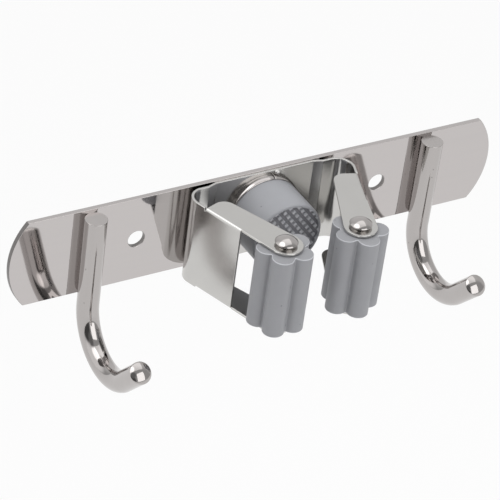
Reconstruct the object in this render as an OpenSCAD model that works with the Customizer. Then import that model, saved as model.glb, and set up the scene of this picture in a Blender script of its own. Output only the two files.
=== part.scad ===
// Wall rack for a mop: a steel plate that carries two hooks and a sprung clip with rubber rollers.
// Lengths are millimetres. X runs along the plate, Z is up and the wall is the plane Y = 0.
// The room is towards -Y. The clip is drawn with its depth from the wall along +Y and then
// turned to face the room. Each right-hand piece has a left-hand twin in the mirror.

/* [Back plate] */
// Length of the plate from end to end
plate_l = 186; // [170:1:220]
// Height of the plate
plate_h = 32.8; // [28:0.2:45]
// Thickness of the plate
plate_t = 1.8; // [1:0.1:3]
// How far each curved end stands out past its corners
end_bulge = 6; // [3:0.5:10]
// Diameter of a screw hole
screw_hole_d = 6.2; // [4:0.1:8]
// Distance between the two screw holes
screw_spacing = 93.4; // [84:0.2:104]

/* [Hooks] */
// Distance from a hook's middle to its end of the plate
hook_inset = 28.3; // [20:0.1:32]
// Diameter of the round bar
bar_d = 7.6; // [6:0.1:10]
// How far the bar's flat top lies below the plate's top edge
bar_top_drop = 1.3; // [0:0.1:5]
// Length of the straight part of the bar
bar_straight_l = 34; // [28:0.5:50]
// Radius of the bend, to the middle of the bar
bar_bend_r = 16.5; // [12:0.5:25]
// Angle that the bar turns through
bar_bend_angle = 138; // [100:1:165]
// How much thinner the bar is in its bend
bend_thinning = 0.03; // [0.02:0.01:0.2]
// Length of the straight tip
bar_tip_l = 13; // [6:0.5:25]
// Height of the dome on the tip
bar_dome_h = 1.3; // [0.5:0.1:2.5]
// Depth of the flat by which the bar is welded to the plate
bar_flat = 0.2; // [0.1:0.05:0.6]

/* [Spring strip] */
// How far the strip's long edges lie inside those of the plate
strip_margin = 0.3; // [0.1:0.1:2]
// Thickness of the strip
strip_t = 0.9; // [0.5:0.1:1.2]
// Width of the flat middle that lies on the plate
base_w = 37; // [32:0.5:40]
// How far the strip steps away from the plate
step_out = 1.1; // [0.6:0.1:2]
// Radius of the step's bends, to the middle of the strip
step_r = 2; // [1.5:0.1:3]
// Width of the clip over its two corners
clip_w = 61.5; // [58:0.1:70]
// Radius of a corner, to the middle of the strip
corner_r = 5.2; // [3:0.1:6]
// Angle by which an arm leans towards the middle
arm_lean = 18.5; // [10:0.5:25]

/* [Arms] */
// Length of the web from the corner to its front edge
web_l = 19.2; // [15:0.2:24]
// Distance from the corner to the back of the ears
ear_start = 3.9; // [3:0.1:7]
// Width of the slit behind the ears
ear_slit = 0.5; // [0.3:0.1:1]
// Inner radius of the fold between web and ear
fold_r = 0.3; // [0.2:0.1:1]
// Depth of an ear at its back, from the middle of the web
ear_back_w = 8.8; // [7:0.1:10]
// Radius of the ear's back corner
ear_corner_r = 4.2; // [2:0.1:5]
// Radius of the ear's round end
ear_end_r = 5.7; // [5:0.1:7]

/* [Rollers] */
// Distance from the corner to the roller's axis, along the web
roller_reach = 33.7; // [32:0.1:40]
// Distance from the middle of the web to the roller's axis
roller_inset = 5.5; // [3:0.1:6.5]
// Diameter over the lobes
roller_d = 19.4; // [15:0.2:21]
// Number of lobes
roller_lobes = 5; // [4:1:7]
// Radius of a lobe
lobe_r = 3.7; // [3.6:0.1:5]
// Radius of the round valley between two lobes
valley_r = 0.5; // [0.3:0.1:1]
// Gap between a roller's end and the ear
roller_gap = 0.3; // [0.2:0.05:0.6]
// Angle of a lobe on the left roller
left_turn = 17; // [0:1:71]
// Angle of a lobe on the right roller
right_turn = 51; // [0:1:71]
// Wall of the hard core inside a roller
core_t = 1.2; // [0.8:0.1:1.5]
// Diameter of the rivet's shank
rivet_d = 5; // [4:0.1:5.4]
// Clearance round the shank in the core
core_fit = 0.05; // [0.02:0.01:0.09]
// Clearance round the shank in the ears
ear_fit = 0.03; // [0.01:0.01:0.05]
// Diameter of the rivet's heads
head_d = 7.8; // [6.5:0.1:9]
// Height of a head's undercut rim
head_rim_h = 1.5; // [0.3:0.1:2]
// Height of a head's dome
head_dome_h = 1.2; // [0.6:0.1:1.6]
// How far the rim is undercut
head_undercut = 0.9; // [0.2:0.1:1]

/* [Bumper] */
// Outer diameter of the steel ring
ring_d = 27.6; // [25:0.2:30]
// Wall of the ring
ring_t = 0.8; // [0.5:0.1:1.2]
// Depth of the ring
ring_depth = 2.5; // [2:0.1:5]
// How far the ring's middle lies above the middle of the plate
ring_rise = 1.2; // [0:0.1:2]
// Angle of the ring's seam, from its top towards the right
seam_turn = 14; // [0:1:45]
// Width of the ring's seam
seam_w = 0.4; // [0.2:0.1:0.8]
// Radius of the weld over the seam
weld_r = 1.2; // [0.8:0.1:1.5]
// Length of the rubber bumper from the strip to its front
bumper_l = 18.3; // [12:0.1:19]
// Diameter of the bumper's front
bumper_front_d = 24.8; // [20:0.2:25]
// Distance between the studs of the waffle front
stud_pitch = 2.4; // [2:0.05:4]
// Width of a groove between studs
groove_w = 1.4; // [0.5:0.05:1.6]
// Depth of the grooves
groove_depth = 0.8; // [0.4:0.1:1.5]
// Width of the plain rim round the waffle
waffle_rim = 0.5; // [0.3:0.1:1.5]
// Angle by which the waffle is turned
waffle_turn = 53; // [0:1:89]

/* [Hidden] */
$fn = 96;
// How far a cut runs past the face that it leaves
overrun = 1;
// Colours of the finishes
polished = [0.78, 0.77, 0.76];
satin = [0.70, 0.69, 0.68];
roller_grey = [0.57, 0.58, 0.60];
bumper_grey = [0.66, 0.67, 0.69];
core_black = [0.12, 0.12, 0.13];

// Radius of the plate's curved ends
end_r = (pow(plate_h / 2, 2) + pow(end_bulge, 2)) / (2 * end_bulge);

// Distance between the two hooks
hook_spacing = plate_l - 2 * hook_inset;
// Depth of the bar's axis from the wall, and the height at which its bend begins
bar_depth = plate_t + bar_d / 2 - bar_flat;
bar_bend_z = plate_h / 2 - bar_top_drop - bar_straight_l;
// How far the straight parts of the bar run into its bend
bar_lap = 0.2;

// Height of the strip
strip_h = plate_h - 2 * strip_margin;
// Depth of the strip's middle where it lies on the plate, and beyond the step
base_depth = plate_t + strip_t / 2;
run_depth = base_depth + step_out;
strip_face = plate_t + strip_t;
step_angle = acos(1 - step_out / (2 * step_r));
step_end_x = base_w / 2 + 2 * step_r * sin(step_angle);
// Flats that round each of the step's bends, and the turns at which they meet
step_flats = 6;
step_turns = [for (i = [0 : step_flats]) i * step_angle / step_flats];
corner_x = (clip_w - strip_t) / 2 - corner_r;
corner_depth = run_depth + corner_r;
corner_angle = 90 + arm_lean;

// Fold between web and ear: its outer radius and its centre, from the middle of the web
fold_outer_r = fold_r + strip_t;
fold_inset = fold_outer_r - strip_t / 2;
fold_z = strip_h / 2 - fold_outer_r;

// Where the web leaves its corner, and a point so far along the arm and in from its web
arm_foot = [corner_x + corner_r * cos(arm_lean), corner_depth + corner_r * sin(arm_lean)];
function on_arm(along, inset) = arm_foot
    + along * [-sin(arm_lean), cos(arm_lean)] - inset * [cos(arm_lean), sin(arm_lean)];
roller_axis = on_arm(roller_reach, roller_inset);
roller_l = strip_h - 2 * strip_t - 2 * roller_gap;
// How far a valley's round runs into the lobes beside it
valley_lap = 0.02;
// Distance of the lobes and of the valleys from the axis, and the star that joins their centres
lobe_ring_r = roller_d / 2 - lobe_r;
valley_ring_r = lobe_ring_r * cos(180 / roller_lobes)
    + sqrt(pow(lobe_r + valley_r - valley_lap, 2) - pow(lobe_ring_r * sin(180 / roller_lobes), 2));
roller_star = [for (lobe = [0 : roller_lobes - 1], half = [0, 1])
    let (turn = (lobe + half / 2) * 360 / roller_lobes)
        (half == 0 ? lobe_ring_r : valley_ring_r) * [cos(turn), sin(turn)]];
core_r = rivet_d / 2 + core_fit + core_t;

// Bumper: seat inside the ring, and how many grooves lie each side of its middle
seat_r = ring_d / 2 - ring_t;
groove_count = ceil(bumper_front_d / (2 * stud_pitch));

// Turns a piece that is drawn with its depth along +Y to face the room
module facing_room() {
    mirror([0, 1, 0]) children();
}

// A piece of the right-hand side, or its twin on the left
module on_side(side) {
    mirror([side == "left" ? 1 : 0, 0, 0]) children();
}

// Cap of a sphere that stands on Z = 0
module dome(base_d, height) {
    ball_r = (pow(base_d / 2, 2) + pow(height, 2)) / (2 * height);
    intersection() {
        translate([0, 0, height - ball_r]) sphere(ball_r);
        translate([-ball_r, -ball_r, 0]) cube([2 * ball_r, 2 * ball_r, 2 * ball_r]);
    }
}

// Points where a straight line touches two circles, on their left going from a to b, or on their right
function touching(a, a_r, b, b_r, left) =
    let (
        gap = b - a,
        swing = acos((a_r - b_r) / norm(gap)),
        normal = atan2(gap.y, gap.x) + (left ? swing : -swing),
        way = [cos(normal), sin(normal)]
    )
    [a + a_r * way, b + b_r * way];

// Outline of the plate: a bar whose two ends are cut round
module plate_outline() {
    difference() {
        square([plate_l + 2 * overrun, plate_h], center = true);
        for (end = [0, 1])
            mirror([end, 0])
                translate([plate_l / 2 - end_r, 0])
                    difference() {
                        translate([0, -plate_h]) square([end_r + 2 * overrun, 2 * plate_h]);
                        circle(end_r);
                    }
    }
}

module back_plate() {
    color(polished)
        rotate([90, 0, 0])
            linear_extrude(plate_t)
                difference() {
                    plate_outline();
                    for (side = [-1, 1])
                        translate([side * screw_spacing / 2, 0]) circle(d = screw_hole_d);
                }
}

// The bent bar in a plane of its own, with its depth along X and its height along Y
module bent_bar() {
    translate([bar_depth, bar_bend_z - bar_lap, 0])
        rotate([-90, 0, 0])
            cylinder(h = bar_straight_l + bar_lap, d = bar_d);
    translate([bar_depth + bar_bend_r, bar_bend_z, 0]) {
        rotate([0, 0, 180])
            rotate_extrude(angle = bar_bend_angle)
                translate([bar_bend_r, 0]) circle(d = bar_d - bend_thinning);
        rotate([0, 0, 180 + bar_bend_angle])
            translate([bar_bend_r, -bar_lap, 0])
                rotate([-90, 0, 0]) {
                    cylinder(h = bar_tip_l + bar_lap, d = bar_d);
                    translate([0, 0, bar_tip_l + bar_lap]) dome(bar_d, bar_dome_h);
                }
    }
}

// A hook: the bent bar with a flat where it is welded to the plate
module hook(side) {
    color(polished)
        on_side(side)
            difference() {
                translate([hook_spacing / 2, 0, 0]) rotate([90, 0, -90]) bent_bar();
                translate([hook_spacing / 2 - bar_d, -plate_t, -plate_h / 2])
                    cube([2 * bar_d, plate_t, plate_h]);
            }
}

module left_hook() {
    hook("left");
}

module right_hook() {
    hook("right");
}

// Part of a turn of the strip, starting on +X
module strip_turn(radius, angle) {
    rotate_extrude(angle = angle)
        translate([radius - strip_t / 2, -strip_h / 2])
            square([strip_t, strip_h]);
}

// Right half of one face of the base strip, so far in front of its middle: flat, a double bend and a run
function base_face(offset) = [
    for (turn = step_turns)
        [base_w / 2 + (step_r - offset) * sin(turn), base_depth + step_r - (step_r - offset) * cos(turn)],
    for (turn = step_turns)
        if (turn > 0)
            [step_end_x - (step_r + offset) * sin(step_angle - turn),
             run_depth - step_r + (step_r + offset) * cos(step_angle - turn)],
    [corner_x, run_depth + offset]
];

// The same points in the mirror, in the opposite order
function mirrored(points) = [for (i = [len(points) - 1 : -1 : 0]) [-points[i].x, points[i].y]];

// The flat middle of the strip with a step and a short run at each side
module clip_base() {
    back = base_face(-strip_t / 2);
    front = base_face(strip_t / 2);
    color(satin)
        facing_room()
            translate([0, 0, -strip_h / 2])
                linear_extrude(strip_h)
                    polygon(concat(mirrored(back), back, [for (i = [len(front) - 1 : -1 : 0]) front[i]],
                                   [for (point = front) [-point.x, point.y]]));
}

// The rounded corner that flexes when its arm is pushed open
module bend(side) {
    color(satin)
        on_side(side)
            facing_room()
                translate([corner_x, corner_depth, 0])
                    rotate([0, 0, -90]) strip_turn(corner_r, corner_angle);
}

module left_bend() {
    bend("left");
}

module right_bend() {
    bend("right");
}

// Outline of an ear, with X along the web and Y in from its middle
module ear_outline() {
    back = [ear_start + ear_corner_r, ear_back_w - ear_corner_r];
    end = [roller_reach, roller_inset];
    web_front = [web_l, 0];
    inner_edge = touching(back, ear_corner_r, end, ear_end_r, true);
    outer_edge = touching(web_front, 0, end, ear_end_r, false);
    polygon([
        [ear_start, fold_inset], [web_l, fold_inset], web_front, outer_edge[1],
        inner_edge[1], inner_edge[0], back, [ear_start, back.y]
    ]);
    translate(back) circle(ear_corner_r);
    translate(end) circle(ear_end_r);
}

// Quarter-round fold from the web into the upper ear
module ear_fold() {
    translate([ear_start, fold_inset, fold_z])
        rotate([90, 0, 90])
            linear_extrude(web_l - ear_start)
                intersection() {
                    difference() {
                        circle(fold_outer_r);
                        circle(fold_r);
                    }
                    translate([-fold_outer_r, 0]) square(fold_outer_r);
                }
}

// An arm: the web, and the two ears that are folded from it and drilled for the rivet
module arm(side) {
    color(satin)
        on_side(side)
            facing_room()
                translate(arm_foot)
                    rotate([0, 0, corner_angle])
                        difference() {
                            union() {
                                translate([0, -strip_t / 2, -strip_h / 2])
                                    cube([ear_start - ear_slit, strip_t, strip_h]);
                                translate([0, -strip_t / 2, -fold_z])
                                    cube([web_l, strip_t, 2 * fold_z]);
                                for (under = [0, 1])
                                    mirror([0, 0, under]) {
                                        ear_fold();
                                        translate([0, 0, strip_h / 2 - strip_t])
                                            linear_extrude(strip_t) ear_outline();
                                    }
                            }
                            translate([roller_reach, roller_inset, 0])
                                cylinder(h = strip_h + 2 * overrun, d = rivet_d + 2 * ear_fit, center = true);
                        }
}

module left_arm() {
    arm("left");
}

module right_arm() {
    arm("right");
}

// Stands a piece on the roller's axis
module on_axis(side) {
    translate([side == "left" ? -roller_axis.x : roller_axis.x, -roller_axis.y, 0]) children();
}

// A rivet: a shank with a domed head on each ear
module rivet(side) {
    color(polished)
        on_axis(side) {
            cylinder(h = strip_h, d = rivet_d, center = true);
            for (under = [0, 1])
                mirror([0, 0, under])
                    translate([0, 0, strip_h / 2]) {
                        cylinder(h = head_rim_h, d1 = head_d - 2 * head_undercut, d2 = head_d);
                        translate([0, 0, head_rim_h]) dome(head_d, head_dome_h);
                    }
        }
}

module left_rivet() {
    rivet("left");
}

module right_rivet() {
    rivet("right");
}

// The hard sleeve that turns on the rivet
module roller_core(side) {
    color(core_black)
        on_axis(side)
            difference() {
                cylinder(h = roller_l, r = core_r, center = true);
                cylinder(h = roller_l + 2 * overrun, r = rivet_d / 2 + core_fit, center = true);
            }
}

module left_roller_core() {
    roller_core("left");
}

module right_roller_core() {
    roller_core("right");
}

// The lobed rubber roller that is moulded round its core
module roller(side, turn) {
    color(roller_grey)
        on_axis(side)
            rotate([0, 0, turn])
                linear_extrude(roller_l, center = true)
                    difference() {
                        union() {
                            polygon(roller_star);
                            for (lobe = [0 : roller_lobes - 1])
                                rotate(lobe * 360 / roller_lobes)
                                    translate([lobe_ring_r, 0]) circle(lobe_r);
                        }
                        for (lobe = [0 : roller_lobes - 1])
                            rotate((lobe + 1 / 2) * 360 / roller_lobes)
                                translate([valley_ring_r, 0]) circle(valley_r);
                        circle(core_r);
                    }
}

module left_roller() {
    roller("left", left_turn);
}

module right_roller() {
    roller("right", right_turn);
}

// Stands a piece on the front of the strip, with Z out of the wall and Y towards the ring's seam
module on_strip() {
    translate([0, -strip_face, ring_rise]) rotate([90, seam_turn, 0]) children();
}

// The rolled ring that holds the bumper, with its seam near the top
module bumper_ring() {
    color(polished)
        on_strip()
            difference() {
                cylinder(h = ring_depth, d = ring_d);
                translate([0, 0, -overrun]) cylinder(h = ring_depth + 2 * overrun, r = seat_r);
                translate([-seam_w / 2, 0, -overrun])
                    cube([seam_w, ring_d, ring_depth + 2 * overrun]);
            }
}

// The weld between the ring's seam and the strip
module ring_weld() {
    color(polished)
        on_strip()
            difference() {
                translate([0, ring_d / 2, 0]) sphere(weld_r);
                cylinder(h = 2 * weld_r, d = ring_d);
                translate([-weld_r, ring_d / 2 - weld_r, -2 * weld_r])
                    cube([2 * weld_r, 2 * weld_r, 2 * weld_r]);
            }
}

// One set of straight grooves across the bumper's front
module grooves() {
    for (i = [-groove_count : groove_count])
        translate([(i - 1 / 2) * stud_pitch - groove_w / 2, -ring_d, bumper_l - groove_depth])
            cube([groove_w, 2 * ring_d, groove_depth + overrun]);
}

// The rubber plug: a seat inside the ring, a tapered body and a waffle front
module bumper() {
    color(bumper_grey)
        on_strip()
            difference() {
                union() {
                    cylinder(h = ring_depth, r = seat_r);
                    translate([0, 0, ring_depth])
                        cylinder(h = bumper_l - ring_depth, r1 = seat_r, d2 = bumper_front_d);
                }
                intersection() {
                    for (across = [0, 90])
                        rotate([0, 0, waffle_turn + across]) grooves();
                    cylinder(h = bumper_l + 2 * overrun, d = bumper_front_d - 2 * waffle_rim);
                }
            }
}

back_plate();
left_hook();
right_hook();
clip_base();
left_bend();
right_bend();
left_arm();
right_arm();
left_rivet();
right_rivet();
left_roller_core();
right_roller_core();
left_roller();
right_roller();
bumper_ring();
ring_weld();
bumper();
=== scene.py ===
"""Dressed model of a wall rack for a mop.

A polished steel plate carries two bent hooks and a sprung steel clip. The clip's two arms hold lobed
rubber rollers, which press a handle against a rubber bumper. Lengths are metres, X runs along the plate,
Z is up, and the wall is the plane Y = 0 with the room towards -Y.
"""

import math

import bmesh
import bpy
from bpy.props import FloatProperty, FloatVectorProperty, IntProperty, PointerProperty
from mathutils import Matrix, Vector


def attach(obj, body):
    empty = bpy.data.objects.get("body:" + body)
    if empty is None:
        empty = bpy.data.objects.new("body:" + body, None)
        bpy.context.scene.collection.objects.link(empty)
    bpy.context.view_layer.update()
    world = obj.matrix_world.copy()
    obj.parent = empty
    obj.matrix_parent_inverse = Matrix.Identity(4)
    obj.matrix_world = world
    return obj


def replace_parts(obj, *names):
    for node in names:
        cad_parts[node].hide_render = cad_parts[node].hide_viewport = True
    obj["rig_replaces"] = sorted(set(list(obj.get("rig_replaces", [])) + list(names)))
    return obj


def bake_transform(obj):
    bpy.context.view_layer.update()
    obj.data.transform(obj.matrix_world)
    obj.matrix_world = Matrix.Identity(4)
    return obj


bl_info = {
    "name": "Mop rack",
    "version": (1, 0, 0),
    "blender": (4, 5, 0),
    "location": "3D View > Sidebar > Mop rack",
    "description": "Builds a wall rack for a mop piece by piece",
    "category": "Add Mesh",
}

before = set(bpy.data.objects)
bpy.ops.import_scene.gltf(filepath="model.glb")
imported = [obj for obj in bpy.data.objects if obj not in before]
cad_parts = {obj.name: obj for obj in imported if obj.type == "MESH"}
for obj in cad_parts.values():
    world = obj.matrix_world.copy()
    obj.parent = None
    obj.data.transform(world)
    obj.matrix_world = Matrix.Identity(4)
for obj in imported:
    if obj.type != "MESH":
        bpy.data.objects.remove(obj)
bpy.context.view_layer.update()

MM = 0.001
FULL_TURN = 2 * math.pi
QUARTER_TURN = math.pi / 2
INTO_WALL = Vector((0, 1, 0))
UP = Vector((0, 0, 1))
RIGHT = Vector((1, 0, 0))

# Slack for picking points by their place, and the gap under which two points are one
HAIR = 0.01 * MM
SAME_POINT = 0.002 * MM

# Play of a rivet in its ears, and radii of the broken edges of the rivets and the ring
RIVET_PLAY = 0.03 * MM
RIVET_EDGE = 0.12 * MM
RING_EDGE = 0.14 * MM

# Corners on a full turn of the bars, drilled holes, ring and bumper, and steps along a hook's bend
BAR_SIDES = 56
HOLE_SIDES = 64
RING_SIDES = 110
BUMPER_SIDES = 96
BEND_STEPS = 56


def length(name, description, millimetres):
    """A length that a user may change."""
    return FloatProperty(name=name, description=description, default=millimetres * MM, min=0,
                         unit="LENGTH", precision=5)


def turn(name, description, degrees):
    """An angle that a user may change."""
    return FloatProperty(name=name, description=description, default=math.radians(degrees),
                         subtype="ANGLE")


def tint(name, description, colour):
    """A colour that a user may change."""
    return FloatVectorProperty(name=name, description=description, default=colour, size=3, min=0, max=1,
                               subtype="COLOR")


class PlateSizes(bpy.types.PropertyGroup):
    """Sizes of the back plate."""

    length: length("Length", "Plate from end to end", 186)
    height: length("Height", "Height of the plate", 32.8)
    thickness: length("Thickness", "Thickness of the plate", 1.8)
    bulge: length("End bulge", "How far a curved end stands out past its corners", 6)
    hole: length("Hole", "Diameter of a screw hole", 6.2)
    hole_spacing: length("Hole spacing", "Distance between the screw holes", 93.4)
    edge: length("Edge", "Radius of the broken edges", 0.22)


class HookSizes(bpy.types.PropertyGroup):
    """Sizes of the two hooks."""

    spacing: length("Spacing", "Distance between the hooks", 129.4)
    bar: length("Bar", "Diameter of the round bar", 7.6)
    depth: length("Depth", "Distance of the bar's axis from the wall", 5.4)
    top: length("Top", "Height of the bar's cut top above the plate's middle", 15.1)
    straight: length("Straight", "Length of the straight part", 34)
    bend_radius: length("Bend radius", "Radius of the bend at the bar's axis", 16.5)
    bend_angle: turn("Bend angle", "Angle that the bar turns through", 138)
    tip: length("Tip", "Length of the straight tip", 13)
    dome: length("Dome", "Height of the dome on the tip", 1.3)
    edge: length("Edge", "Radius of the cut top's edge", 0.14)


class StripSizes(bpy.types.PropertyGroup):
    """Sizes of the spring strip with its two arms."""

    height: length("Height", "Height of the strip", 32.2)
    thickness: length("Thickness", "Thickness of the strip", 0.9)
    base: length("Base", "Width of the flat middle that lies on the plate", 37)
    base_depth: length("Base depth", "Distance of the flat middle's centre line from the wall", 2.25)
    step: length("Step", "How far the strip steps away from the plate", 1.1)
    step_radius: length("Step radius", "Radius of the step's bends", 0.8)
    ramp: turn("Ramp", "Slope of the step between its bends", 18)
    corner: length("Corner", "Where a corner begins, from the middle of the rack", 25.1)
    corner_radius: length("Corner radius", "Radius of a corner", 5.2)
    lean: turn("Lean", "Angle by which an arm leans towards the middle", 18.5)
    web: length("Web", "Length of the web from the corner to its front edge", 19.2)
    ear_start: length("Ear start", "Distance from the corner to the back of the ears", 3.9)
    slit: length("Slit", "Width of the slit behind the ears", 0.5)
    fold_radius: length("Fold radius", "Radius of the fold at the middle of the strip", 0.75)
    ear_depth: length("Ear depth", "Depth of an ear at its back", 8.8)
    ear_back_radius: length("Ear back radius", "Radius of the ear's back corner", 4.2)
    ear_end_radius: length("Ear end radius", "Radius of the ear's round end", 5.7)
    reach: length("Reach", "Distance along the web to the roller's axis", 33.7)
    inset: length("Inset", "Distance from the web to the roller's axis", 5.5)
    edge: length("Edge", "Radius of the sheet's edges", 0.16)


class RollerSizes(bpy.types.PropertyGroup):
    """Sizes of the rollers and their rivets."""

    across: length("Across", "Distance of a roller's axis from the middle of the rack", 14.122)
    depth: length("Depth", "Distance of a roller's axis from the wall", 40.413)
    length: length("Length", "Length of a roller", 29.8)
    diameter: length("Diameter", "Diameter over the lobes", 19.4)
    lobes: IntProperty(name="Lobes", description="Number of lobes", default=5, min=3, max=9)
    lobe_radius: length("Lobe radius", "Radius of a lobe", 3.7)
    valley_radius: length("Valley radius", "Radius of the round valley between two lobes", 0.5)
    bore: length("Bore", "Diameter of the bore for the core", 7.5)
    left_turn: turn("Left turn", "Angle of a lobe on the left roller", 17)
    right_turn: turn("Right turn", "Angle of a lobe on the right roller", 51)
    edge: length("Edge", "Radius of the rubber's edges", 0.3)
    shank: length("Shank", "Diameter of the rivet's shank", 5)
    head: length("Head", "Diameter of the rivet's heads", 7.8)
    rim: length("Rim", "Height of a head's undercut rim", 1.0)
    dome: length("Dome", "Height of a head's dome", 1.7)
    undercut: length("Undercut", "How far the rim is undercut", 0.9)


class BumperSizes(bpy.types.PropertyGroup):
    """Sizes of the rubber bumper and its ring."""

    seat_depth: length("Seat depth", "Distance of the strip's front from the wall", 2.7)
    rise: length("Rise", "Height of the bumper's axis above the plate's middle", 1.2)
    ring: length("Ring", "Outer diameter of the ring", 27.6)
    ring_wall: length("Ring wall", "Wall of the ring", 0.8)
    ring_depth: length("Ring depth", "Depth of the ring", 2.5)
    ring_edge: length("Ring edge", "How far the ring's rolled outside falls off to the front", 0.6)
    crown: FloatProperty(name="Crown", default=3,
                         description="How far back the fall reaches, against its height")
    seam: length("Seam", "Width of the ring's seam", 0.4)
    seam_turn: turn("Seam turn", "Angle of the seam from the ring's top", 10)
    weld: length("Weld", "Radius of the weld beside the seam", 1.2)
    weld_turn: turn("Weld turn", "Angle of the weld from the ring's top", 18)
    weld_offset: length("Weld offset", "Distance from the ring to the weld's middle", 0.9)
    length: length("Length", "Bumper from the strip to its front", 17.9)
    front: length("Front", "Diameter of the bumper at its round shoulder", 26)
    shoulder: length("Shoulder", "Radius of the round shoulder at the front", 0.75)
    pitch: length("Pitch", "Distance between the studs", 2.4)
    groove: length("Groove", "Width of a groove", 1.4)
    groove_depth: length("Groove depth", "Depth of a groove", 0.8)
    waffle_rim: length("Waffle rim", "Width of the plain rim round the waffle", 0.85)
    waffle_turn: turn("Waffle turn", "Angle of the grooves", 39)


class RackFinishes(bpy.types.PropertyGroup):
    """Colours of the finishes."""

    polished: tint("Polished steel", "Colour of the plate", (0.540, 0.512, 0.505))
    bar: tint("Bar steel", "Colour of the hooks, rivets and ring", (0.465, 0.442, 0.432))
    satin: tint("Satin steel", "Colour of the spring strip", (0.585, 0.576, 0.560))
    cut: tint("Cut steel", "Colour of the hooks' sawn tops and the plate's edges", (0.500, 0.475, 0.465))
    sheared: tint("Sheared steel", "Colour of the plate's ends and hole walls", (0.20, 0.19, 0.185))
    roller: tint("Roller rubber", "Colour of the rollers", (0.310, 0.313, 0.330))
    bumper: tint("Bumper rubber", "Colour of the bumper", (0.335, 0.340, 0.362))
    # The roller rim colour is a painted highlight along the rollers' rounded edges.
    rim: tint("Roller rim", "Colour of the worn edges of the rollers", (0.58, 0.59, 0.62))
    # Stud tops: lighter than the bumper rubber, as painted light on faces that the arms and rollers shade.
    studs: tint("Stud tops", "Colour of the studs, lightened as painted light", (0.47, 0.475, 0.50))
    # Waffle ground: darker than the bumper rubber, as painted shade in the grooves between the studs.
    ground: tint("Waffle ground", "Colour of the ground between the studs", (0.22, 0.218, 0.236))
    core: tint("Core plastic", "Colour of the sleeves in the rollers", (0.014, 0.014, 0.016))


SETTINGS = {
    "rack_plate": PlateSizes,
    "rack_hooks": HookSizes,
    "rack_strip": StripSizes,
    "rack_rollers": RollerSizes,
    "rack_bumper": BumperSizes,
    "rack_finishes": RackFinishes,
}


# Modelling by hand

def open_mesh():
    """Enters edit mode on the active piece."""
    bpy.ops.object.mode_set(mode="EDIT")


def close_mesh():
    """Leaves edit mode."""
    bpy.ops.object.mode_set(mode="OBJECT")


def lay_down_tools():
    """Leaves edit mode with nothing selected."""
    if bpy.context.mode != "OBJECT":
        close_mesh()
    bpy.ops.object.select_all(action="DESELECT")


def take_up(piece):
    """Makes one piece the only selected and active one."""
    lay_down_tools()
    piece.select_set(True)
    bpy.context.view_layer.objects.active = piece


def named(name):
    """Names the piece that was just added and puts its place into its mesh."""
    piece = bpy.context.object
    piece.name = name
    piece.data.name = name
    bpy.ops.object.transform_apply(location=True, rotation=True, scale=True)
    return piece


def start_point(name, place):
    """A new piece of a single point, in edit mode."""
    lay_down_tools()
    bpy.ops.mesh.primitive_plane_add(size=MM, location=place)
    piece = named(name)
    open_mesh()
    bpy.context.tool_settings.mesh_select_mode = (True, False, False)
    pick_all()
    bpy.ops.mesh.merge(type="CENTER")
    return piece


def pull(way):
    """Extrudes what is selected along a vector."""
    bpy.ops.mesh.extrude_region_move(TRANSFORM_OT_translate={"value": tuple(way)})


def swing(angle, centre, axis, steps):
    """Spins what is selected about an axis by the right-hand rule."""
    bpy.ops.mesh.spin(steps=steps, angle=-angle, center=tuple(centre), axis=tuple(axis))


def resize(scale, centre):
    """Scales what is selected about a point."""
    bpy.ops.transform.resize(value=scale, center_override=tuple(centre))


def pick(piece, test):
    """Selects the points that pass a test, and nothing else."""
    mesh = bmesh.from_edit_mesh(piece.data)
    for part in (*mesh.verts, *mesh.edges, *mesh.faces):
        part.select = False
    chosen = [vert for vert in mesh.verts if test(vert.co)]
    if not chosen:
        raise RuntimeError("nothing to pick on " + piece.name)
    for vert in chosen:
        vert.select = True
    mesh.select_flush(True)
    bmesh.update_edit_mesh(piece.data)


def pick_all():
    """Selects the whole piece."""
    bpy.ops.mesh.select_all(action="SELECT")


def near(place):
    """A test for points at a place."""
    return lambda spot: (spot - place).length < HAIR


def join_doubles():
    """Merges points that lie on each other."""
    pick_all()
    bpy.ops.mesh.remove_doubles(threshold=SAME_POINT)


def outward():
    """Turns every face outwards and leaves edit mode."""
    pick_all()
    bpy.ops.mesh.normals_make_consistent(inside=False)
    close_mesh()


def apply_modifier(piece, kind, **values):
    """Adds a modifier, sets it and applies it."""
    take_up(piece)
    modifier = piece.modifiers.new(kind.title(), kind)
    for key, value in values.items():
        setattr(modifier, key, value)
    bpy.ops.object.modifier_apply(modifier=modifier.name)


def cut_away(piece, cutter, operation="DIFFERENCE"):
    """Cuts one piece with another and discards the cutter."""
    apply_modifier(piece, "BOOLEAN", operation=operation, object=cutter, solver="EXACT")
    take_up(cutter)
    bpy.ops.object.delete()


def round_edges(piece, radius, segments=3, sharpest=30):
    """Rounds the sharp edges of a piece and shades it smooth."""
    take_up(piece)
    bpy.ops.object.shade_smooth()
    apply_modifier(piece, "BEVEL", width=radius, segments=segments, limit_method="ANGLE",
                   angle_limit=math.radians(sharpest), use_clamp_overlap=True, miter_outer="MITER_ARC")
    shade_evenly(piece)


def shade_evenly(piece):
    """Keeps flat faces flat and leaves the turn of the shading to the rounded edges."""
    apply_modifier(piece, "WEIGHTED_NORMAL", keep_sharp=True, weight=60)


def drill(name, radius, depth, place, along):
    """A rod to cut a round hole with."""
    lay_down_tools()
    facing = UP.rotation_difference(along).to_euler()
    bpy.ops.mesh.primitive_cylinder_add(vertices=HOLE_SIDES, radius=radius, depth=depth, location=place,
                                        rotation=facing)
    return named(name)


def twin(piece, name):
    """A copy of a piece in the mirror, with a mesh of its own."""
    take_up(piece)
    bpy.ops.object.duplicate(linked=False)
    copy = bpy.context.object
    copy.name = name
    copy.data.name = name
    open_mesh()
    pick_all()
    bpy.ops.transform.mirror(constraint_axis=(True, False, False), center_override=(0, 0, 0))
    bpy.ops.mesh.flip_normals()
    close_mesh()
    bpy.ops.mesh.customdata_custom_splitnormals_clear()
    shade_evenly(copy)
    return copy


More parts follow.
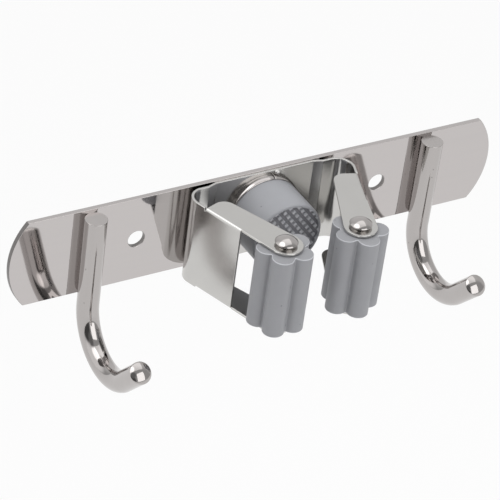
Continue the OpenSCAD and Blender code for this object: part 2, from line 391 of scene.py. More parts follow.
def dress(piece, finish, body, nodes):
    """Gives a piece its finish, its body and the solids that it stands for."""
    lay_down_tools()
    piece.data.materials.clear()
    piece.data.materials.append(finish_named(finish))
    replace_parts(piece, *nodes)
    if body:
        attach(piece, body)


def further_finish(piece, name, test):
    """Gives the faces that pass a test a finish of their own."""
    piece.data.materials.append(finish_named(name))
    for face in piece.data.polygons:
        if test(face):
            face.material_index = len(piece.data.materials) - 1


def slants(part):
    """True for the part of a normal that shows a rounded edge, neither along an axis nor across it."""
    return 0.2 < abs(part) < 0.95


# Finishes

# Nodes in a column of a tree, and the distance between them
NODE_ROWS = 4
NODE_SPACING = 260


def new_node(tree, kind, **values):
    """Adds a node in the next place of a grid and sets its own values."""
    node = tree.nodes.new(kind)
    column, row = divmod(len(tree.nodes), NODE_ROWS)
    node.location = (NODE_SPACING * column, -NODE_SPACING * row)
    for key, value in values.items():
        setattr(node, key, value)
    return node


def new_group(name, inputs, outputs):
    """A shader node group with named sockets, and its two ends."""
    tree = bpy.data.node_groups.new(name, "ShaderNodeTree")
    for label, value in inputs.items():
        kind = "NodeSocketVector" if isinstance(value, tuple) else "NodeSocketFloat"
        socket = tree.interface.new_socket(label, in_out="INPUT", socket_type=kind)
        socket.default_value = value
    for label in outputs:
        tree.interface.new_socket(label, in_out="OUTPUT", socket_type="NodeSocketFloat")
    first = new_node(tree, "NodeGroupInput")
    last = new_node(tree, "NodeGroupOutput")
    return tree, first, last


def feed(tree, value, socket):
    """Gives a socket a number or what another socket puts out."""
    if isinstance(value, (int, float)):
        socket.default_value = value
    else:
        tree.links.new(value, socket)


def arithmetic(tree, operation, one, other):
    """A Math node between two sockets or numbers."""
    node = new_node(tree, "ShaderNodeMath", operation=operation)
    feed(tree, one, node.inputs[0])
    feed(tree, other, node.inputs[1])
    return node.outputs[0]


def noise(tree, vector, scale, detail, result, roughness=0.5):
    """A Noise texture that goes to one of a group's outputs."""
    node = new_node(tree, "ShaderNodeTexNoise")
    node.inputs["Detail"].default_value = detail
    node.inputs["Roughness"].default_value = roughness
    tree.links.new(vector, node.inputs["Vector"])
    feed(tree, scale, node.inputs["Scale"])
    tree.links.new(node.outputs["Fac"], result)


def brushing_group():
    """Fine straight scratches, drawn out along one direction."""
    inputs = {"Vector": (0, 0, 0), "Stretch": (1, 1, 1)}
    tree, first, last = new_group("Brushing", inputs, ("Lines", "Drift"))
    scaled = new_node(tree, "ShaderNodeVectorMath", operation="MULTIPLY")
    tree.links.new(first.outputs["Vector"], scaled.inputs[0])
    tree.links.new(first.outputs["Stretch"], scaled.inputs[1])
    noise(tree, scaled.outputs[0], 1, 3, last.inputs["Lines"], roughness=0.65)
    noise(tree, scaled.outputs[0], 0.16, 2, last.inputs["Drift"])
    return tree


def speck_group():
    """Small scattered pits and grains of dirt."""
    inputs = {"Vector": (0, 0, 0), "Scale": 200, "Size": 0.12, "Share": 0.5}
    tree, first, last = new_group("Specks", inputs, ("Mask",))
    cells = new_node(tree, "ShaderNodeTexVoronoi")
    tree.links.new(first.outputs["Vector"], cells.inputs["Vector"])
    tree.links.new(first.outputs["Scale"], cells.inputs["Scale"])
    inside = arithmetic(tree, "LESS_THAN", cells.outputs["Distance"], first.outputs["Size"])
    pick_some = new_node(tree, "ShaderNodeSeparateColor")
    tree.links.new(cells.outputs["Color"], pick_some.inputs[0])
    some = arithmetic(tree, "LESS_THAN", pick_some.outputs[0], first.outputs["Share"])
    mask = arithmetic(tree, "MULTIPLY", inside, some)
    tree.links.new(mask, last.inputs["Mask"])
    return tree


def cloud_group():
    """Slow unevenness of a surface, at two sizes."""
    inputs = {"Vector": (0, 0, 0), "Scale": 60}
    tree, first, last = new_group("Unevenness", inputs, ("Broad", "Grain"))
    finer = arithmetic(tree, "MULTIPLY", first.outputs["Scale"], 24)
    noise(tree, first.outputs["Vector"], first.outputs["Scale"], 2, last.inputs["Broad"])
    noise(tree, first.outputs["Vector"], finer, 4, last.inputs["Grain"])
    return tree


def effect(name):
    """A node group of this script, built the first time it is asked for."""
    makers = {"Brushing": brushing_group, "Specks": speck_group, "Unevenness": cloud_group}
    return bpy.data.node_groups.get(name) or makers[name]()


def new_finish(name):
    """A material with its Principled shader and Object coordinates."""
    finish = bpy.data.materials.new(name)
    finish.use_nodes = True
    tree = finish.node_tree
    shader = tree.nodes["Principled BSDF"]
    coordinates = new_node(tree, "ShaderNodeTexCoord")
    return finish, tree, shader, coordinates.outputs["Object"]


def place_effect(tree, name, vector, **values):
    """Places a node group in a material with its own values."""
    node = new_node(tree, "ShaderNodeGroup", node_tree=effect(name))
    tree.links.new(vector, node.inputs["Vector"])
    for key, value in values.items():
        node.inputs[key].default_value = value
    return node


def spread(tree, value, low, high):
    """Maps a mask of 0 to 1 onto a range."""
    node = new_node(tree, "ShaderNodeMapRange")
    node.inputs["To Min"].default_value = low
    node.inputs["To Max"].default_value = high
    tree.links.new(value, node.inputs["Value"])
    return node.outputs["Result"]


def surfaced(tree, shader, colour, tone, rough):
    """Feeds the shader a colour that a tone makes lighter and darker, and a roughness."""
    node = new_node(tree, "ShaderNodeVectorMath", operation="SCALE")
    node.inputs[0].default_value = tuple(colour)
    tree.links.new(tone, node.inputs["Scale"])
    tree.links.new(node.outputs[0], shader.inputs["Base Color"])
    tree.links.new(rough, shader.inputs["Roughness"])


def bumped(tree, shader, height, distance, strength):
    """Feeds a height over the surface to the shader's normal."""
    node = new_node(tree, "ShaderNodeBump")
    node.inputs["Distance"].default_value = distance
    node.inputs["Strength"].default_value = strength
    tree.links.new(height, node.inputs["Height"])
    tree.links.new(node.outputs["Normal"], shader.inputs["Normal"])


def steel(name, colour, roughness, stretch, drift, line_bump, wave_bump, speck_share):
    """Stainless steel with a brushed or polished face, slow waves and a few pits."""
    finish, tree, shader, place = new_finish(name)
    shader.inputs["Metallic"].default_value = 1
    lines = place_effect(tree, "Brushing", place, Stretch=stretch)
    clouds = place_effect(tree, "Unevenness", place, Scale=70)
    specks = place_effect(tree, "Specks", place, Scale=250, Size=0.05, Share=speck_share)
    dark = arithmetic(tree, "MULTIPLY", specks.outputs["Mask"], 0.5)
    clean = arithmetic(tree, "SUBTRACT", 1, dark)
    tone = spread(tree, lines.outputs["Drift"], 1 - drift, 1 + drift)
    tone = arithmetic(tree, "MULTIPLY", tone, clean)
    rough = arithmetic(tree, "MULTIPLY", lines.outputs["Lines"], clouds.outputs["Broad"])
    rough = spread(tree, rough, *roughness)
    surfaced(tree, shader, colour, tone, rough)
    height = arithmetic(tree, "MULTIPLY", lines.outputs["Lines"], line_bump)
    waves = arithmetic(tree, "MULTIPLY", clouds.outputs["Broad"], wave_bump)
    height = arithmetic(tree, "ADD", height, waves)
    height = arithmetic(tree, "SUBTRACT", height, specks.outputs["Mask"])
    bumped(tree, shader, height, 0.02 * MM, 1.0)
    return finish


def rubber(name, colour, roughness, grain_bump, speck_share):
    """Moulded rubber with a fine grain, soft blotches and a few dark specks."""
    finish, tree, shader, place = new_finish(name)
    clouds = place_effect(tree, "Unevenness", place, Scale=110)
    specks = place_effect(tree, "Specks", place, Scale=250, Size=0.06, Share=speck_share)
    tone = spread(tree, clouds.outputs["Broad"], 0.93, 1.07)
    fine = spread(tree, clouds.outputs["Grain"], 0.97, 1.03)
    tone = arithmetic(tree, "MULTIPLY", tone, fine)
    dirt = spread(tree, specks.outputs["Mask"], 1, 0.55)
    tone = arithmetic(tree, "MULTIPLY", tone, dirt)
    rough = spread(tree, clouds.outputs["Broad"], *roughness)
    surfaced(tree, shader, colour, tone, rough)
    height = arithmetic(tree, "MULTIPLY", clouds.outputs["Grain"], grain_bump)
    height = arithmetic(tree, "SUBTRACT", height, specks.outputs["Mask"])
    bumped(tree, shader, height, 0.03 * MM, 0.7)
    return finish


def plastic(name, colour):
    """Plain moulded plastic with a fine grain."""
    finish, tree, shader, place = new_finish(name)
    clouds = place_effect(tree, "Unevenness", place, Scale=140)
    tone = spread(tree, clouds.outputs["Broad"], 0.9, 1.1)
    rough = spread(tree, clouds.outputs["Grain"], 0.38, 0.5)
    surfaced(tree, shader, colour, tone, rough)
    bumped(tree, shader, clouds.outputs["Grain"], 0.02 * MM, 0.6)
    return finish


# How each finish is made, its colour and its values. Steel: roughness from and to, stretch of the
# scratches, drift of the tone, bump of the scratches, bump of the waves and share of pits. Rubber:
# roughness from and to, bump of the grain and share of specks.
FINISHES = {
    "Polished plate": (steel, "polished", (0.03, 0.09), (60, 900, 2600), 0.015, 0.01, 0.2, 0.03),
    "Polished bar": (steel, "bar", (0.06, 0.16), (2200, 2200, 90), 0.04, 0.015, 0.2, 0.5),
    "Cut face": (steel, "cut", (0.26, 0.48), (2600, 120, 2600), 0.05, 0.5, 0.2, 0.04),
    "Sheared edge": (steel, "sheared", (0.30, 0.50), (2600, 120, 2600), 0.12, 0.5, 0.2, 0.04),
    "Weld bead": (steel, "satin", (0.35, 0.55), (900, 900, 900), 0.1, 0.5, 0.5, 0.3),
    "Satin strip": (steel, "satin", (0.15, 0.25), (900, 900, 1400), 0.03, 0.10, 0.15, 0.1),
    "Roller rubber": (rubber, "roller", (0.46, 0.60), 0.5, 0.6),
    "Bumper rubber": (rubber, "bumper", (0.40, 0.55), 0.35, 0.3),
    # Painted highlight for the rollers' rounded edges.
    "Roller rim": (rubber, "rim", (0.46, 0.60), 0.5, 0.05),
    # Painted light on the studs and painted shade in the grooves between them.
    "Stud tops": (rubber, "studs", (0.45, 0.60), 0.5, 0.1),
    "Waffle ground": (rubber, "ground", (0.55, 0.70), 0.5, 0.03),
    "Core plastic": (plastic, "core"),
}


def finish_named(name):
    """One of the rack's finishes, made the first time it is asked for."""
    known = bpy.data.materials.get(name)
    if known:
        return known
    maker, colour, *values = FINISHES[name]
    return maker(name, getattr(bpy.context.scene.rack_finishes, colour), *values)


# Pieces

class RACK_OT_plate(bpy.types.Operator):
    """Builds the polished back plate with its round ends and two screw holes."""

    bl_idname = "rack.plate"
    bl_label = "Back plate"

    def execute(self, context):
        plate = context.scene.rack_plate
        half = plate.height / 2
        end_radius = (half ** 2 + plate.bulge ** 2) / (2 * plate.bulge)
        end_centre = plate.length / 2 - end_radius
        corner = plate.length / 2 - plate.bulge
        sweep = 2 * math.asin(half / end_radius)
        piece = start_point("plate", (corner, 0, -half))
        swing(sweep, (end_centre, 0, 0), -INTO_WALL, 32)
        pull((-2 * corner, 0, 0))
        swing(sweep, (-end_centre, 0, 0), -INTO_WALL, 32)
        pick_all()
        bpy.ops.mesh.edge_face_add()
        pull(-INTO_WALL * plate.thickness)
        outward()
        for side in (-1, 1):
            place = (side * plate.hole_spacing / 2, -plate.thickness / 2, 0)
            cut_away(piece, drill("hole", plate.hole / 2, 4 * plate.thickness, place, INTO_WALL))
        round_edges(piece, plate.edge)
        dress(piece, "Polished plate", "rack", ["back_plate"])
        further_finish(piece, "Cut face", lambda face: slants(face.normal.y))
        further_finish(piece, "Sheared edge", lambda face: self.is_sheared(plate, face))
        return {"FINISHED"}

    def is_sheared(self, plate, face):
        """True on the round ends and on the walls of the holes, which aren't polished."""
        across = abs(face.center.x)
        at_end = across > plate.length / 2 - plate.bulge and abs(face.normal.x) > 0.5
        from_hole = Vector((across - plate.hole_spacing / 2, face.center.z)).length
        in_hole = from_hole < plate.hole / 2 + plate.edge and abs(face.normal.y) < 0.2
        return at_end or in_hole


class RACK_OT_hooks(bpy.types.Operator):
    """Builds the two hooks from round bar: cut top, straight, bend and domed tip."""

    bl_idname = "rack.hooks"
    bl_label = "Hooks"

    def execute(self, context):
        hook = context.scene.rack_hooks
        radius = hook.bar / 2
        across = hook.spacing / 2
        start = (across, -hook.depth, hook.top)
        lay_down_tools()
        bpy.ops.mesh.primitive_circle_add(vertices=BAR_SIDES, radius=radius, location=start)
        piece = named("right_hook_bar")
        open_mesh()
        pick_all()
        pull(-UP * hook.straight)
        bend_centre = Vector((across, -hook.depth - hook.bend_radius, hook.top - hook.straight))
        swing(hook.bend_angle, bend_centre, -RIGHT, BEND_STEPS)
        bend = Matrix.Rotation(-hook.bend_angle, 3, "X")
        tip_way = bend @ -UP
        pull(tip_way * hook.tip)
        bar_end = Vector((0, hook.bend_radius, 0))
        bar_end.rotate(bend)
        tip = bend_centre + bar_end + tip_way * hook.tip
        ball = (radius ** 2 + hook.dome ** 2) / (2 * hook.dome)
        sweep = math.asin(radius / ball)
        rings = 9
        ring_radius = radius
        height = 0
        for ring in range(1, rings):
            angle = sweep * (1 - ring / rings)
            rise = ball * math.cos(angle) - (ball - hook.dome)
            pull(tip_way * (rise - height))
            scale = ball * math.sin(angle) / ring_radius
            resize((scale, scale, scale), tip + tip_way * rise)
            ring_radius = ball * math.sin(angle)
            height = rise
        pull(tip_way * (hook.dome - height))
        bpy.ops.mesh.merge(type="CENTER")
        pick(piece, lambda spot: spot.z > hook.top - HAIR)
        bpy.ops.mesh.edge_face_add()
        outward()
        round_edges(piece, hook.edge, segments=2)
        dress(piece, "Polished bar", None, ["right_hook"])
        top = hook.top - HAIR
        further_finish(piece, "Cut face", lambda face: face.center.z > top and face.normal.z > 0.9)
        other = twin(piece, "left_hook_bar")
        other["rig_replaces"] = []
        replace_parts(other, "left_hook")
        for bar in (piece, other):
            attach(bar, "rack")
        return {"FINISHED"}


class RACK_OT_strip(bpy.types.Operator):
    """Builds the spring strip: flat middle, steps, rounded corners, webs and folded ears."""

    bl_idname = "rack.strip"
    bl_label = "Spring strip"

    def execute(self, context):
        strip = context.scene.rack_strip
        half = strip.height / 2
        fold_height = half - strip.thickness / 2 - strip.fold_radius
        past_middle = 1.5 * MM
        run_depth = strip.base_depth + strip.step
        ramp_way = Vector((math.cos(strip.ramp), -math.sin(strip.ramp), 0))
        ramp_rise = strip.step - 2 * strip.step_radius * (1 - ramp_way.x)
        ramp = ramp_way * ramp_rise / -ramp_way.y
        step_end = strip.base / 2 + ramp.x - 2 * strip.step_radius * ramp_way.y
        piece = start_point("right_strip", (-past_middle, -strip.base_depth, -half))
        pull(UP * (half - fold_height))
        pull(UP * 2 * fold_height)
        pull(UP * (half - fold_height))
        pick_all()
        pull(RIGHT * (strip.base / 2 + past_middle))
        swing(strip.ramp, (strip.base / 2, -strip.base_depth - strip.step_radius, 0), -UP, 5)
        pull(ramp)
        swing(strip.ramp, (step_end, -run_depth + strip.step_radius, 0), UP, 5)
        pull(RIGHT * (strip.corner - step_end))
        corner = Vector((strip.corner, -run_depth - strip.corner_radius, 0))
        swing(QUARTER_TURN + strip.lean, corner, -UP, 22)
        along = Vector((-math.sin(strip.lean), -math.cos(strip.lean), 0))
        inward = Vector((-math.cos(strip.lean), math.sin(strip.lean), 0))
        foot = corner - inward * strip.corner_radius
        pull(along * (strip.ear_start - strip.slit))
        web_root = foot + along * (strip.ear_start - strip.slit)
        pick(piece, lambda spot: (spot - web_root).dot(along) > -HAIR and abs(spot.z) < fold_height + HAIR
             and abs((spot - web_root).dot(inward)) < strip.thickness)
        pull(along * strip.slit)
        pull(along * (strip.web - strip.ear_start))
        for side in (1, -1):
            self.fold_ear(piece, strip, foot, along, inward, side, fold_height)
        join_doubles()
        outward()
        apply_modifier(piece, "SOLIDIFY", thickness=strip.thickness, offset=0, use_even_offset=True,
                       use_quality_normals=True)
        axis = foot + along * strip.reach + inward * strip.inset
        hole = context.scene.rack_rollers.shank / 2 + RIVET_PLAY
        cut_away(piece, drill("rivet_hole", hole, 2 * strip.height, axis, UP))
        round_edges(piece, strip.edge, segments=2, sharpest=40)
        self.trim(piece)
        other = twin(piece, "left_strip")
        self.hand_over(piece, "right_arm", ["right_bend", "right_arm"], run_depth, strip, foot)
        self.hand_over(other, "left_arm", ["clip_base", "left_bend", "left_arm"], run_depth, strip, foot)
        return {"FINISHED"}

    def fold_ear(self, piece, strip, foot, along, inward, side, fold_height):
        """Folds one edge of the web over and draws the ear from it."""
        edge_back = foot + along * strip.ear_start + UP * side * fold_height
        edge_front = foot + along * strip.web + UP * side * fold_height
        at_back = near(edge_back)
        at_front = near(edge_front)
        pick(piece, lambda spot: at_back(spot) or at_front(spot))
        swing(QUARTER_TURN, edge_back + inward * strip.fold_radius, along * side, 6)
        level = UP * side * (fold_height + strip.fold_radius)

        def spot_at(reach, inset):
            return foot + along * reach + inward * inset + level

        back = Vector((strip.ear_start + strip.ear_back_radius, strip.ear_depth - strip.ear_back_radius))
        end = Vector((strip.reach, strip.inset))
        gap = end - back
        narrowing = strip.ear_back_radius - strip.ear_end_radius
        inner = math.atan2(gap.y, gap.x) + math.acos(narrowing / gap.length)
        gap = end - Vector((strip.web, 0))
        outer = math.atan2(gap.y, gap.x) - math.acos(-strip.ear_end_radius / gap.length)
        inner_way = Vector((math.cos(inner), math.sin(inner)))
        outer_way = Vector((math.cos(outer), math.sin(outer)))
        inner_end = end + strip.ear_end_radius * inner_way
        inner_start = back + strip.ear_back_radius * inner_way
        outer_start = end + strip.ear_end_radius * outer_way
        pick(piece, near(spot_at(strip.ear_start, strip.fold_radius)))
        pull(inward * (back.y - strip.fold_radius))
        swing(math.pi - inner, spot_at(*back), UP, 16)
        pull(spot_at(*inner_end) - spot_at(*inner_start))
        swing(inner - outer, spot_at(*end), UP, 32)
        pull(spot_at(strip.web, 0) - spot_at(*outer_start))
        pull(inward * strip.fold_radius)
        join_doubles()
        pick(piece, lambda spot: abs(spot.z - level.z) < HAIR
             and (spot - foot).dot(along) > strip.ear_start / 2
             and (spot - foot).dot(inward) > -strip.thickness)
        bpy.ops.mesh.edge_face_add()

    def trim(self, piece):
        """Cuts the half strip off at the middle of the rack."""
        take_up(piece)
        open_mesh()
        pick_all()
        bpy.ops.mesh.bisect(plane_co=(0, 0, 0), plane_no=(1, 0, 0), use_fill=True, clear_inner=True)
        pick(piece, lambda spot: abs(spot.x) < 0.001 * MM)
        bpy.ops.mesh.mark_sharp()
        close_mesh()
        bpy.ops.mesh.customdata_custom_splitnormals_clear()
        shade_evenly(piece)

    def hand_over(self, piece, arm, nodes, run_depth, strip, foot):
        """Gives a half strip its finish and the solids that it stands for, and puts its place into its
        mesh.
        """
        dress(piece, "Satin strip", None, nodes)
        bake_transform(piece)


class RACK_OT_rivets(bpy.types.Operator):
    """Turns the two rivets with their domed heads."""

    bl_idname = "rack.rivets"
    bl_label = "Rivets"

    def execute(self, context):
        rollers = context.scene.rack_rollers
        strip = context.scene.rack_strip
        axis = Vector((rollers.across, -rollers.depth, 0))
        head = rollers.head / 2
        shank = rollers.shank / 2
        seat = strip.height / 2
        ball = (head ** 2 + rollers.dome ** 2) / (2 * rollers.dome)
        sweep = math.asin(head / ball)
        crown = seat + rollers.rim + rollers.dome
        piece = start_point("right_rivet_pin", axis + UP * crown)
        swing(sweep, axis + UP * (crown - ball), INTO_WALL, 10)
        pull(Vector((-rollers.undercut, 0, -rollers.rim)))
        pull(RIGHT * (shank - head + rollers.undercut))
        pull(-UP * 2 * seat)
        pull(RIGHT * (head - rollers.undercut - shank))
        pull(Vector((rollers.undercut, 0, -rollers.rim)))
        swing(sweep, axis - UP * (crown - ball), INTO_WALL, 10)
        pick_all()
        swing(FULL_TURN, axis, UP, BAR_SIDES)
        join_doubles()
        outward()
        round_edges(piece, RIVET_EDGE, segments=2)
        dress(piece, "Polished bar", None, ["right_rivet"])
        other = twin(piece, "left_rivet_pin")
        other["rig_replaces"] = []
        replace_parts(other, "left_rivet")
        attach(piece, "right_arm")
        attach(other, "left_arm")
        return {"FINISHED"}


class RACK_OT_rollers(bpy.types.Operator):
    """Builds the two lobed rubber rollers and finishes their cores."""

    bl_idname = "rack.rollers"
    bl_label = "Rollers"

    def execute(self, context):
        rollers = context.scene.rack_rollers
        self.build(rollers, "left", -1, rollers.left_turn)
        self.build(rollers, "right", 1, rollers.right_turn)
        for side in ("left", "right"):
            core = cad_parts[side + "_roller_core"]
            core.data.materials.clear()
            core.data.materials.append(finish_named("Core plastic"))
        return {"FINISHED"}

    def build(self, rollers, side, sign, start_turn):
        """One roller: five lobes drawn round its axis, raised to its length and bored."""
        axis = Vector((sign * rollers.across, -rollers.depth, 0))
        foot = axis - UP * rollers.length / 2
        ring = rollers.diameter / 2 - rollers.lobe_radius
        half_step = math.pi / rollers.lobes
        between = rollers.lobe_radius + rollers.valley_radius
        valley = ring * math.cos(half_step) + math.sqrt(between ** 2 - (ring * math.sin(half_step)) ** 2)
        half_lobe = math.atan2(valley * math.sin(half_step), valley * math.cos(half_step) - ring)

        def polar(distance, angle):
            return Vector((distance * math.cos(angle), distance * math.sin(angle), 0))

        first = foot + polar(ring, start_turn) + polar(rollers.lobe_radius, start_turn - half_lobe)
        piece = start_point(side + "_roller_rubber", first)
        for lobe in range(rollers.lobes):
            angle = start_turn + 2 * half_step * lobe
            swing(2 * half_lobe, foot + polar(ring, angle), UP, 24)
            swing(2 * (half_step - half_lobe), foot + polar(valley, angle + half_step), UP, 8)
        join_doubles()
        bpy.ops.mesh.edge_face_add()
        pull(UP * rollers.length)
        outward()
        cut_away(piece, drill("bore", rollers.bore / 2, 2 * rollers.length, axis, UP))
        round_edges(piece, rollers.edge, segments=3, sharpest=35)
        dress(piece, "Roller rubber", side + "_roller", [side + "_roller"])
        # The rounded top and bottom edges get the lighter rim colour: a painted highlight.
        further_finish(piece, "Roller rim", lambda face: slants(face.normal.z))


def from_axis(bumper, spot):
    """Distance of a point from the bumper's axis."""
    return Vector((spot.x, spot.z - bumper.rise)).length


def clockwise(angle):
    """Unit vector at an angle from the top, clockwise as seen from the room."""
    return Vector((math.sin(angle), 0, math.cos(angle)))


class RACK_OT_ring(bpy.types.Operator):
    """Rolls the bumper's steel ring with its seam, and lays the weld over it."""

    bl_idname = "rack.ring"
    bl_label = "Bumper ring and weld"

    def execute(self, context):
        bumper = context.scene.rack_bumper
        middle = (bumper.ring - bumper.ring_wall) / 2
        gap = bumper.seam / middle
        centre = Vector((0, -bumper.seat_depth, bumper.rise))
        angle = bumper.seam_turn + gap / 2
        piece = start_point("ring_collar", centre + middle * clockwise(angle))
        pull(-INTO_WALL * bumper.ring_depth)
        pick_all()
        swing(FULL_TURN - gap, centre, INTO_WALL, RING_SIDES)
        outward()
        apply_modifier(piece, "SOLIDIFY", thickness=bumper.ring_wall, offset=0, use_even_offset=True)
        front = -bumper.seat_depth - bumper.ring_depth + HAIR
        open_mesh()
        pick(piece, lambda spot: spot.y < front and from_axis(bumper, spot) > middle)
        bpy.ops.mesh.bevel(offset=bumper.ring_edge, segments=8, affect="EDGES")
        pick(piece, lambda spot: spot.y < front + bumper.ring_edge and from_axis(bumper, spot) > middle)
        resize((1, bumper.crown, 1), (0, front, 0))
        close_mesh()
        round_edges(piece, RING_EDGE, segments=2)
        dress(piece, "Polished bar", "rack", ["bumper_ring"])
        self.weld(bumper, centre)
        return {"FINISHED"}

    def weld(self, bumper, centre):
        """A small uneven bead against the ring and the strip, beside the seam."""
        place = centre + clockwise(bumper.weld_turn) * (bumper.ring / 2 + bumper.weld_offset)
        flattened = (1.05, 0.85, 0.8)
        lay_down_tools()
        bpy.ops.mesh.primitive_ico_sphere_add(subdivisions=4, radius=bumper.weld, location=place)
        piece = named("seam_weld")
        open_mesh()
        pick_all()
        resize(flattened, place)
        bpy.ops.transform.vertex_random(offset=0.06 * MM, uniform=0.2, normal=0.9, seed=7)
        bpy.ops.mesh.vertices_smooth(factor=0.5, repeat=3)
        close_mesh()
        bpy.ops.object.shade_smooth()
        dress(piece, "Weld bead", "rack", ["ring_weld"])


class RACK_OT_bumper(bpy.types.Operator):
    """Turns the tapered rubber bumper and cuts its waffle front."""

    bl_idname = "rack.bumper"
    bl_label = "Bumper"

    def execute(self, context):
        bumper = context.scene.rack_bumper
        seat = bumper.ring / 2 - bumper.ring_wall
        front = bumper.front / 2
        flat = front - bumper.shoulder
        centre = Vector((0, -bumper.seat_depth, bumper.rise))
        forward = -INTO_WALL
        piece = start_point("bumper_rubber", centre)
        pull(RIGHT * seat)
        pull(forward * bumper.ring_depth)
        pull(RIGHT * (front - seat) + forward * (bumper.length - bumper.shoulder - bumper.ring_depth))
        swing(QUARTER_TURN, centre + RIGHT * flat + forward * (bumper.length - bumper.shoulder), -UP, 6)
        pick_all()
        swing(FULL_TURN, centre, INTO_WALL, BUMPER_SIDES)
        join_doubles()
        pick(piece, lambda spot: (spot - centre).dot(forward) > bumper.length - HAIR)
        bpy.ops.mesh.edge_face_add()
        outward()
        for angle in (bumper.waffle_turn, bumper.waffle_turn + QUARTER_TURN):
            rake = self.rake(bumper, centre, front, angle)
            disc = drill("disc", front - bumper.waffle_rim, 4 * bumper.groove_depth,
                         centre + forward * bumper.length, INTO_WALL)
            cut_away(rake, disc, operation="INTERSECT")
            cut_away(piece, rake)
        take_up(piece)
        bpy.ops.object.shade_smooth_by_angle(angle=math.radians(30))
        dress(piece, "Bumper rubber", "rack", ["bumper"])
        self.finish_waffle(piece, bumper, centre, front - bumper.waffle_rim)
        return {"FINISHED"}

    def finish_waffle(self, piece, bumper, centre, edge):
        """Gives the studs a lighter finish as painted light, and the ground between them a darker one as
        painted shade.
        """
        ground_range = (0.7, 1.1)
        stud_range = (-0.1, 0.7)

        def lies_in(face, depths):
            sunk = bumper.length - (centre.y - face.center.y)
            inside = from_axis(bumper, face.center) < edge
            return inside and depths[0] < sunk / bumper.groove_depth < depths[1]

        # Painted shade in the grooves, and painted light on the studs' faces.
        further_finish(piece, "Waffle ground", lambda face: lies_in(face, ground_range))
        further_finish(piece, "Stud tops", lambda face: lies_in(face, stud_range))

    def rake(self, bumper, centre, front, angle):
        """A row of tapered bars that cuts one set of grooves."""
        count = 2 * math.ceil(front / bumper.pitch) + 1
        width_share = 0.93
        draft = 0.86
        lay_down_tools()
        bpy.ops.mesh.primitive_cube_add(size=1)
        piece = bpy.context.object
        piece.scale = (width_share * bumper.groove, 2 * bumper.groove_depth, 3 * front)
        piece = named("rake")
        open_mesh()
        pick(piece, lambda spot: spot.y > 0)
        resize((draft, 1, 1), (0, bumper.groove_depth, 0))
        pick_all()
        first = -(count / 2) * bumper.pitch
        bpy.ops.transform.translate(value=(first, 0, 0))
        close_mesh()
        apply_modifier(piece, "ARRAY", count=count, use_relative_offset=False, use_constant_offset=True,
                       constant_offset_displace=(bumper.pitch, 0, 0))
        piece.rotation_euler = (0, -angle, 0)
        piece.location = centre - INTO_WALL * bumper.length
        bpy.ops.object.transform_apply(location=True, rotation=True, scale=True)
        return piece


# Stage

# The floor: its side, its distance below the rack's middle, its white, and the share of that white which is
# glow and shows no shadow
FLOOR_SIDE = 16
FLOOR_DROP = 0.28
FLOOR_WHITE = (0.86, 0.86, 0.86, 1)
FLOOR_GLOW_SHARE = 0.8

# Grey of the studio, and its pale panels: bearing from the front towards the right and height in degrees,
# angles to the inner and the outer end of the soft edge, and grey
STUDIO_GREY = 0.48
PANELS = (
    (146, 40, 30, 62, 0.82),
    (108, 15, 18, 36, 0.75),
    (-114, 25, 22, 42, 1.1),
    (-100, 58, 14, 26, 2.2),
    (-50, 4, 24, 36, 0.09),
    (-46, 40, 10, 24, 0.20),
)

# Lamps: name, bearing and height in degrees, distance, size and power
LAMPS = (
    ("Front panel", 9, 26, 1.1, (0.9, 1.0), 4.1),
    ("Top box", 180, 86, 1.1, (1.4, 1.0), 3.0),
)


def towards(bearing, height):
    """Unit vector to a bearing from the front towards the right and a height, in degrees."""
    bearing = math.radians(bearing)
    height = math.radians(height)
    level = math.cos(height)
    return Vector((math.sin(bearing) * level, -math.cos(bearing) * level, math.sin(height)))


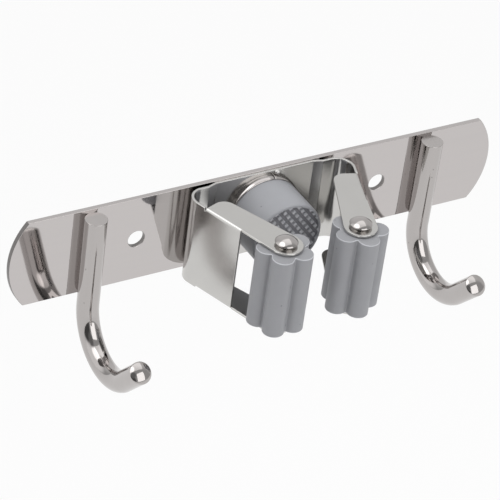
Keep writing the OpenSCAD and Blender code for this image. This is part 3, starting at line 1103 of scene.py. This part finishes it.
class RACK_OT_stage(bpy.types.Operator):
    """Sets up the white floor, the studio light and the camera."""

    bl_idname = "rack.stage"
    bl_label = "Stage"

    def execute(self, context):
        self.floor()
        self.world(context.scene)
        for name, bearing, height, distance, size, power in LAMPS:
            self.lamp(name, towards(bearing, height) * distance, size, power)
        self.camera(context.scene)
        context.scene.view_settings.view_transform = "Standard"
        return {"FINISHED"}

    def floor(self):
        """A wide white floor well below the rack."""
        lay_down_tools()
        bpy.ops.mesh.primitive_plane_add(size=FLOOR_SIDE, location=(0, 0, -FLOOR_DROP))
        piece = named("floor")
        finish = bpy.data.materials.new("White floor")
        finish.use_nodes = True
        tree = finish.node_tree
        tree.nodes.clear()
        paint = new_node(tree, "ShaderNodeBsdfDiffuse")
        paint.inputs["Color"].default_value = FLOOR_WHITE
        glow = new_node(tree, "ShaderNodeEmission")
        glow.inputs["Strength"].default_value = 1
        light_path = new_node(tree, "ShaderNodeLightPath")
        seen = arithmetic(tree, "MAXIMUM", light_path.outputs["Is Camera Ray"],
                          light_path.outputs["Is Glossy Ray"])
        seen = arithmetic(tree, "MAXIMUM", seen, light_path.outputs["Is Transmission Ray"])
        share = arithmetic(tree, "MULTIPLY", seen, FLOOR_GLOW_SHARE)
        mix = new_node(tree, "ShaderNodeMixShader")
        tree.links.new(share, mix.inputs["Fac"])
        tree.links.new(paint.outputs[0], mix.inputs[1])
        tree.links.new(glow.outputs[0], mix.inputs[2])
        last = new_node(tree, "ShaderNodeOutputMaterial")
        tree.links.new(mix.outputs[0], last.inputs["Surface"])
        piece.data.materials.append(finish)

    def world(self, scene):
        """A dim studio with pale panels around the rack."""
        room = bpy.data.worlds.new("Studio")
        scene.world = room
        room.use_nodes = True
        tree = room.node_tree
        sky = tree.nodes["Background"]
        place = new_node(tree, "ShaderNodeTexCoord")
        shade = STUDIO_GREY
        for bearing, height, inner, outer, grey in PANELS:
            facing = new_node(tree, "ShaderNodeVectorMath", operation="DOT_PRODUCT")
            facing.inputs[1].default_value = towards(bearing, height)
            tree.links.new(place.outputs["Generated"], facing.inputs[0])
            edge = new_node(tree, "ShaderNodeMapRange", interpolation_type="SMOOTHSTEP")
            edge.inputs["From Min"].default_value = math.cos(math.radians(outer))
            edge.inputs["From Max"].default_value = math.cos(math.radians(inner))
            tree.links.new(facing.outputs["Value"], edge.inputs["Value"])
            mix = new_node(tree, "ShaderNodeMix", data_type="FLOAT")
            tree.links.new(edge.outputs["Result"], mix.inputs["Factor"])
            feed(tree, shade, mix.inputs["A"])
            mix.inputs["B"].default_value = grey
            shade = mix.outputs["Result"]
        tree.links.new(shade, sky.inputs["Color"])
        sky.inputs["Strength"].default_value = 1

    def lamp(self, name, place, size, power):
        """A soft box that faces the rack."""
        lay_down_tools()
        aim = Vector((0, -0.02, 0))
        facing = (aim - place).to_track_quat("-Z", "Y").to_euler()
        bpy.ops.object.light_add(type="AREA", location=place, rotation=facing)
        lamp = bpy.context.object
        lamp.name = name
        lamp.data.shape = "RECTANGLE"
        lamp.data.size = size[0]
        lamp.data.size_y = size[1]
        lamp.data.energy = power

    def camera(self, scene):
        """A long lens at the photograph's viewing angle."""
        roll = math.radians(7.99)
        distance = 0.9517
        aim = Vector((-0.0002, 0, -0.0179))
        back = towards(-34.28, 35.71)
        level = (-back).cross(UP).normalized()
        above = level.cross(-back)
        right = level * math.cos(roll) + above * math.sin(roll)
        top = above * math.cos(roll) - level * math.sin(roll)
        lens = bpy.data.cameras.new("Camera")
        lens.sensor_width = 36
        lens.lens = 201.6
        lens.clip_start = 0.01
        camera = bpy.data.objects.new("Camera", lens)
        scene.collection.objects.link(camera)
        facing = Matrix((right, top, back)).transposed().to_4x4()
        camera.matrix_world = Matrix.Translation(aim + back * distance) @ facing
        scene.camera = camera


OPERATORS = (
    RACK_OT_stage,
    RACK_OT_plate,
    RACK_OT_hooks,
    RACK_OT_strip,
    RACK_OT_rivets,
    RACK_OT_rollers,
    RACK_OT_ring,
    RACK_OT_bumper,
)


class RACK_PT_pieces(bpy.types.Panel):
    """Lists the rack's pieces and sizes."""

    bl_idname = "RACK_PT_pieces"
    bl_label = "Mop rack"
    bl_space_type = "VIEW_3D"
    bl_region_type = "UI"
    bl_category = "Mop rack"

    def draw(self, context):
        for kind in OPERATORS:
            self.layout.operator(kind.bl_idname)
        for setting in SETTINGS:
            values = getattr(context.scene, setting)
            box = self.layout.box()
            for key in values.__annotations__:
                box.prop(values, key)


def register():
    """Registers the settings, operators and panel."""
    for kind in (*SETTINGS.values(), *OPERATORS, RACK_PT_pieces):
        bpy.utils.register_class(kind)
    for name, kind in SETTINGS.items():
        setattr(bpy.types.Scene, name, PointerProperty(type=kind))


def unregister():
    """Removes what register added."""
    for name in SETTINGS:
        delattr(bpy.types.Scene, name)
    for kind in reversed((*SETTINGS.values(), *OPERATORS, RACK_PT_pieces)):
        bpy.utils.unregister_class(kind)


def main():
    """Builds the stage and every piece."""
    register()
    bpy.ops.rack.stage()
    bpy.ops.rack.plate()
    bpy.ops.rack.hooks()
    bpy.ops.rack.strip()
    bpy.ops.rack.rivets()
    bpy.ops.rack.rollers()
    bpy.ops.rack.ring()
    bpy.ops.rack.bumper()
    lay_down_tools()


if __name__ == "__main__":
    main()
